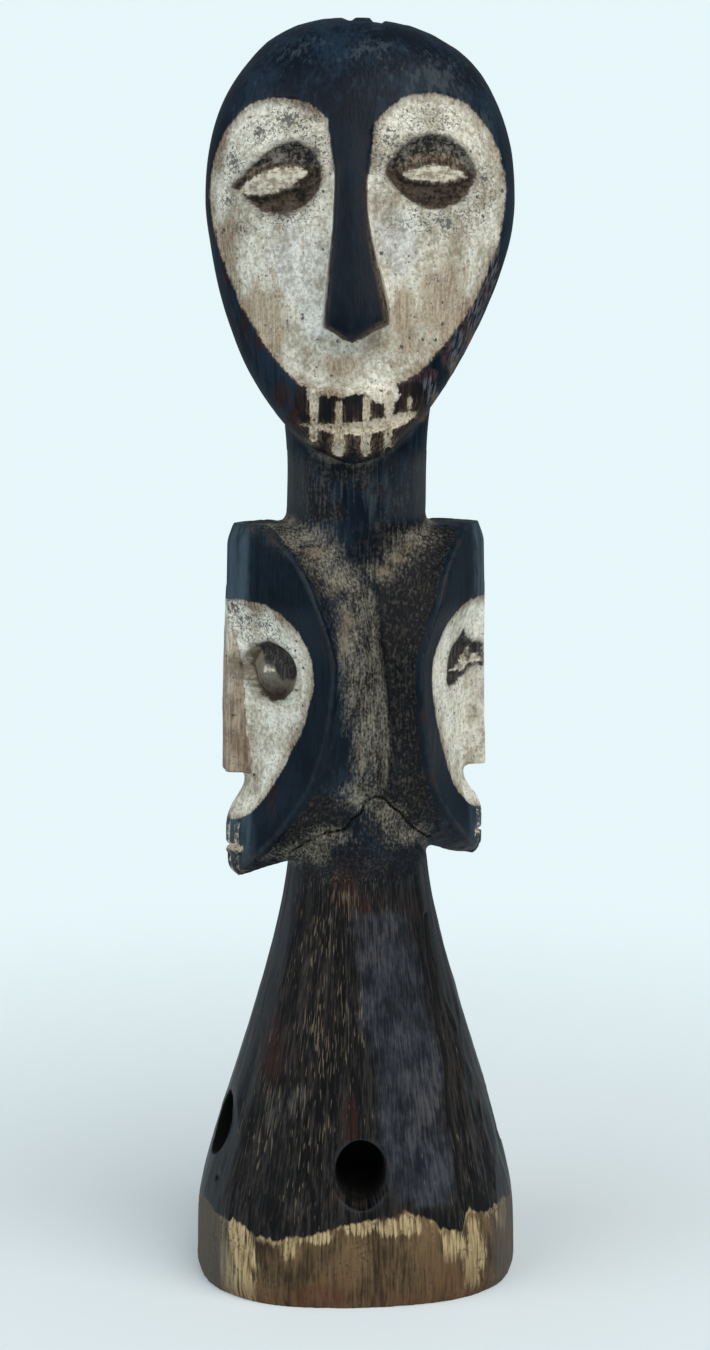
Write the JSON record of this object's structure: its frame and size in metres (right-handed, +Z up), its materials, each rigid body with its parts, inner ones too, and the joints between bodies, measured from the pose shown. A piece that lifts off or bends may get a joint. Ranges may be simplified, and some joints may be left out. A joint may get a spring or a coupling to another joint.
{
  "type": "lega figure",
  "caption": "Carved wooden figure: a large white-faced head on a neck, smaller heads facing left and right below, and a flaring drilled foot.",
  "frame": {"origin": "middle of the flat underside of the foot", "axes": "+Z up through the neck to the crown, -Y the way the large face looks, +X to the left hand side of that face"},
  "size_m": [0.0784, 0.0666, 0.3006],
  "materials": {
    "carved_wood": "blackened dark brown patina with a soft sheen, white clay on the faces, bare wood at the foot"
  },
  "bodies": {
    "root": {"carved_figure": "carved_wood"}
  },
  "joints": []
}
